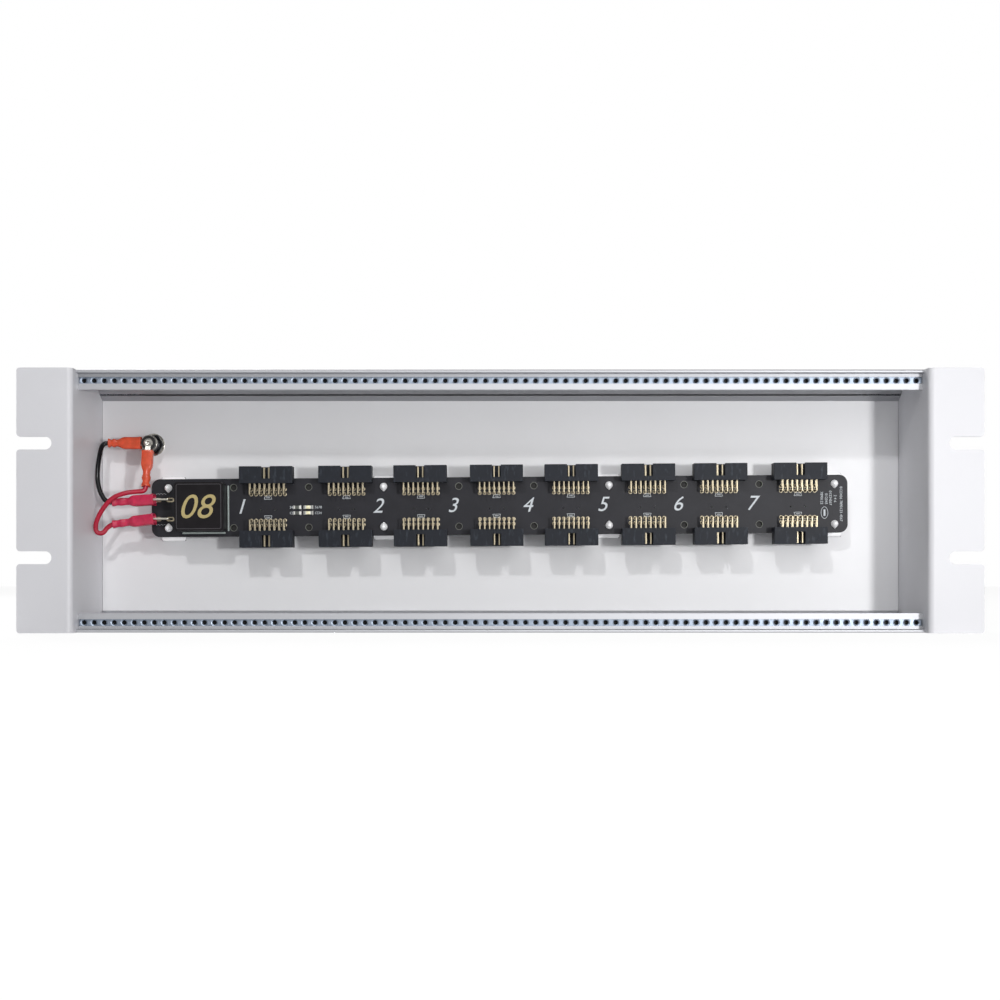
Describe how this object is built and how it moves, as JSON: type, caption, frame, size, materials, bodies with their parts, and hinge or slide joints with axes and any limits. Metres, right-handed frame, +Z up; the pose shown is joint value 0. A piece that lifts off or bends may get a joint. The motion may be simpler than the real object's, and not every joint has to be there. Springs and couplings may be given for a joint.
{
  "type": "modular synthesizer case",
  "caption": "Rack-mount shell for synthesizer modules, with lipped rails, threaded strips and a powered bus board with box headers.",
  "frame": {"origin": "bottom centre of the case's box", "axes": "+X to the right as seen from the open front, +Y from the front to the back, +Z up"},
  "size_m": [0.4826, 0.0632, 0.1325],
  "materials": {
    "powder_coated_steel": "satin white powder coat",
    "anodised_aluminium": "clear anodised extrusion",
    "zinc_plated_steel": "bright zinc plate",
    "zinc_plated_screws": "bright zinc plate",
    "black_circuit_board": "black solder mask over glass-epoxy",
    "black_header_nylon": "moulded glass-filled nylon",
    "gold_plated_brass": "flash gold plate",
    "black_potting": "moulded case with potting",
    "led_resin": "clear resin over a pale body",
    "resistor_ceramic": "glazed ceramic chip",
    "tinned_brass": "tin plate",
    "crimson_vinyl": "translucent vinyl",
    "orange_red_vinyl": "translucent vinyl",
    "white_nylon": "natural moulded nylon",
    "grey_foam_tape": "closed-cell foam",
    "nickel_plated_brass": "bright nickel plate",
    "black_phenolic": "moulded phenolic",
    "black_wire_insulation": "satin PVC",
    "red_wire_insulation": "satin PVC"
  },
  "bodies": {
    "root": {"black_wire": "black_wire_insulation", "board_standoffs": "white_nylon", "bottom_threaded_strip": "zinc_plated_steel", "bus_board": "black_circuit_board", "converter_block": "black_potting", "cover_screws": "zinc_plated_screws", "down_lug_crimp_contact": "tinned_brass", "down_lug_crimp_sleeve": "orange_red_vinyl", "front_bottom_rail": "anodised_aluminium", "front_top_rail": "anodised_aluminium", "indicator_leds": "led_resin", "jack_bush": "nickel_plated_brass", "jack_centre_contact": "nickel_plated_brass", "jack_core": "black_phenolic", "jack_nut": "nickel_plated_brass", "jack_side_contact": "nickel_plated_brass", "jack_washer": "nickel_plated_brass", "led_resistors": "resistor_ceramic", "left_side_panel": "powder_coated_steel", "lower_header_housing_1": "black_header_nylon", "lower_header_housing_2": "black_header_nylon", "lower_header_housing_3": "black_header_nylon", "lower_header_housing_4": "black_header_nylon", "lower_header_housing_5": "black_header_nylon", "lower_header_housing_6": "black_header_nylon", "lower_header_housing_7": "black_header_nylon", "lower_header_housing_8": "black_header_nylon", "lower_header_pins": "gold_plated_brass", "negative_board_crimp_contact": "tinned_brass", "negative_board_crimp_sleeve": "crimson_vinyl", "negative_board_tab": "tinned_brass", "positive_board_crimp_contact": "tinned_brass", "positive_board_crimp_sleeve": "crimson_vinyl", "positive_board_tab": "tinned_brass", "rail_screws": "zinc_plated_screws", "rear_bottom_rail": "anodised_aluminium", "rear_top_rail": "anodised_aluminium", "red_wire": "red_wire_insulation", "right_side_panel": "powder_coated_steel", "side_lug_crimp_contact": "tinned_brass", "side_lug_crimp_sleeve": "orange_red_vinyl", "standoff_foam_pads": "grey_foam_tape", "top_threaded_strip": "zinc_plated_steel", "upper_header_housing_1": "black_header_nylon", "upper_header_housing_2": "black_header_nylon", "upper_header_housing_3": "black_header_nylon", "upper_header_housing_4": "black_header_nylon", "upper_header_housing_5": "black_header_nylon", "upper_header_housing_6": "black_header_nylon", "upper_header_housing_7": "black_header_nylon", "upper_header_housing_8": "black_header_nylon", "upper_header_pins": "gold_plated_brass", "wraparound_cover": "powder_coated_steel"}
  },
  "joints": []
}
